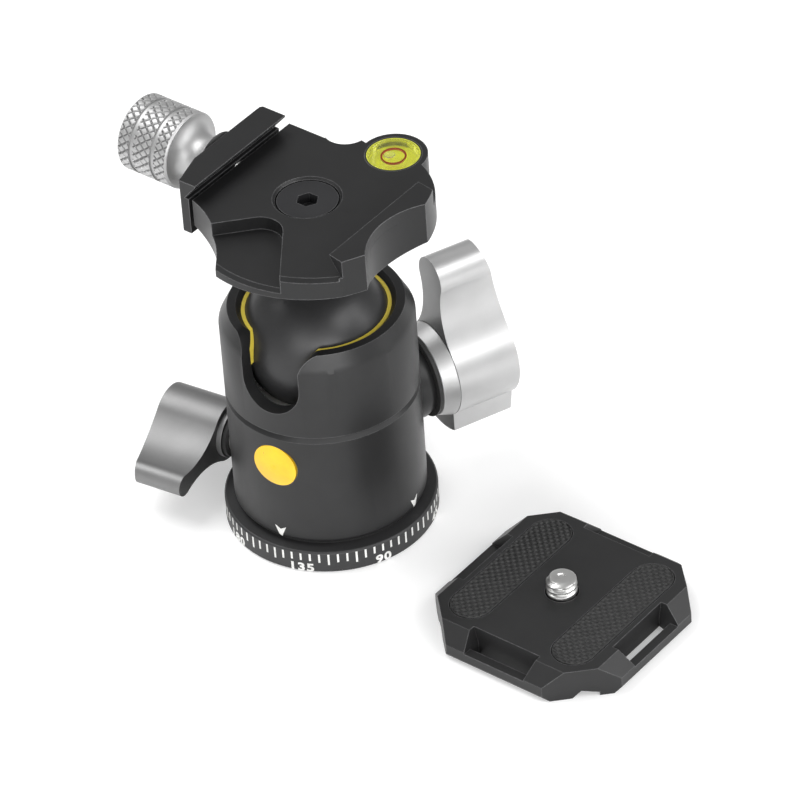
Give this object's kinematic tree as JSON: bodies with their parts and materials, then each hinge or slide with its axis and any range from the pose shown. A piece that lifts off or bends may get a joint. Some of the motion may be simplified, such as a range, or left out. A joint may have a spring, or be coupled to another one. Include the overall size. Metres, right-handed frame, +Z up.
{
  "type": "tripod ball head",
  "caption": "Pan-and-tilt ball head: degree ring, notched casing, ball, two wing knobs, jaw clamp with round level, and a loose camera plate.",
  "frame": {"origin": "pan axis at the underside of the degree ring, which is also the axis of the tripod thread", "axes": "+Z up along the pan axis; the clamp's jaw opens towards -X; -Y is the side of the drop notch, turned 7.7 degrees"},
  "size_m": [0.1292, 0.0672, 0.0847],
  "materials": {
    "ring_black": "satin anodised",
    "hub_dark": "satin anodised",
    "casing_grey": "fine blasted anodised",
    "ball_black": "smooth hard coat",
    "clamp_black": "satin anodised",
    "plate_black": "satin anodised",
    "screw_dark": "blackened",
    "steel": "turned",
    "silver": "satin",
    "pan_silver": "satin",
    "knurl_silver": "knurled",
    "brass": "turned",
    "rubber": "matt",
    "washer_black": "matt",
    "washer_pale": "matt",
    "liner_yellow": "satin",
    "cup_pale": "satin",
    "badge_yellow": "gloss",
    "level_green": "gloss",
    "fluid_green": "liquid",
    "mark_red": "gloss",
    "bubble_pale": "gloss",
    "level_glass": "clear"
  },
  "bodies": {
    "base": {"scale_ring": "ring_black", "base_hub": "hub_dark", "base_spigot": "hub_dark", "thread_bush": "brass", "pan_shim": "washer_black", "keeper_ring": "steel"},
    "casing": {"casing": "casing_grey", "ball_liner": "liner_yellow", "press_block": "brass", "main_boss": "casing_grey", "main_rubber": "washer_black", "pan_sleeve": "steel", "pan_ring": "washer_black", "badge": "badge_yellow"},
    "cup": {"ball_cup": "cup_pale"},
    "ball": {"ball": "ball_black", "clamp_bolt": "screw_dark"},
    "main_knob": {"main_screw": "steel", "main_flange": "silver", "main_knob": "silver", "main_cap": "screw_dark"},
    "pan_knob": {"brake_tip": "brass", "pan_screw": "steel", "pan_collar": "silver", "pan_knob": "pan_silver", "pan_cap": "screw_dark"},
    "clamp": {"clamp_body": "clamp_black", "level_cup": "level_green", "level_fluid": "fluid_green", "level_mark": "mark_red", "level_bubble": "bubble_pale", "level_glass": "level_glass", "clamp_stud": "steel"},
    "jaw": {"clamp_jaw": "clamp_black", "guide_pin_front": "steel", "guide_pin_back": "steel"},
    "clamp_knob": {"thrust_washer": "washer_pale", "clamp_knob": "knurl_silver"},
    "plate": {"plate_body": "plate_black", "pad_left": "rubber", "pad_right": "rubber"},
    "camera_screw": {"camera_screw": "steel", "screw_clip": "screw_dark"}
  },
  "joints": [
    {"name": "pan", "type": "hinge", "parent": "base", "child": "casing", "pos_m": [0, 0, 0.0152], "axis": [0, 0, 1], "continuous": true},
    {"name": "ball_swing", "type": "hinge", "parent": "casing", "child": "cup", "pos_m": [0, 0, 0.04505], "axis": [0, 0, 1], "range_deg": [-180, 0]},
    {"name": "ball_tilt", "type": "hinge", "parent": "cup", "child": "ball", "pos_m": [0, 0, 0.04505], "axis": [0.991, 0.134, 0], "range_deg": [-35, 90]},
    {"name": "clamp_spin", "type": "hinge", "parent": "ball", "child": "clamp", "pos_m": [0, 0, 0.07], "axis": [0, 0, 1], "continuous": true},
    {"name": "jaw_slide", "type": "slide", "parent": "clamp", "child": "jaw", "axis": [-1, 0, 0], "range_m": [-0.0005, 0.0088]},
    {"name": "clamp_knob_turn", "type": "hinge", "parent": "jaw", "child": "clamp_knob", "pos_m": [-0.03, 0.002, 0.07655], "axis": [-1, 0, 0], "range_deg": [-151, 2642]},
    {"name": "main_knob_turn", "type": "hinge", "parent": "casing", "child": "main_knob", "pos_m": [0, 0, 0.0243], "axis": [0.3795, 0.9252, 0], "range_deg": [-90, 180]},
    {"name": "pan_knob_turn", "type": "hinge", "parent": "casing", "child": "pan_knob", "pos_m": [0, 0, 0.011], "axis": [-0.991, -0.134, 0], "range_deg": [-90, 180]},
    {"name": "plate_lift", "type": "slide", "parent": "base", "child": "plate", "axis": [0, 0, 1], "range_m": [0, 0.09]},
    {"name": "camera_screw_turn", "type": "hinge", "parent": "plate", "child": "camera_screw", "pos_m": [0.0613, -0.0026, 0.003], "axis": [0, 0, 1], "continuous": true}
  ],
  "couplings": [
    {"joint": "clamp_knob_turn", "follows": "jaw_slide", "rad_per_m": 5236}
  ]
}
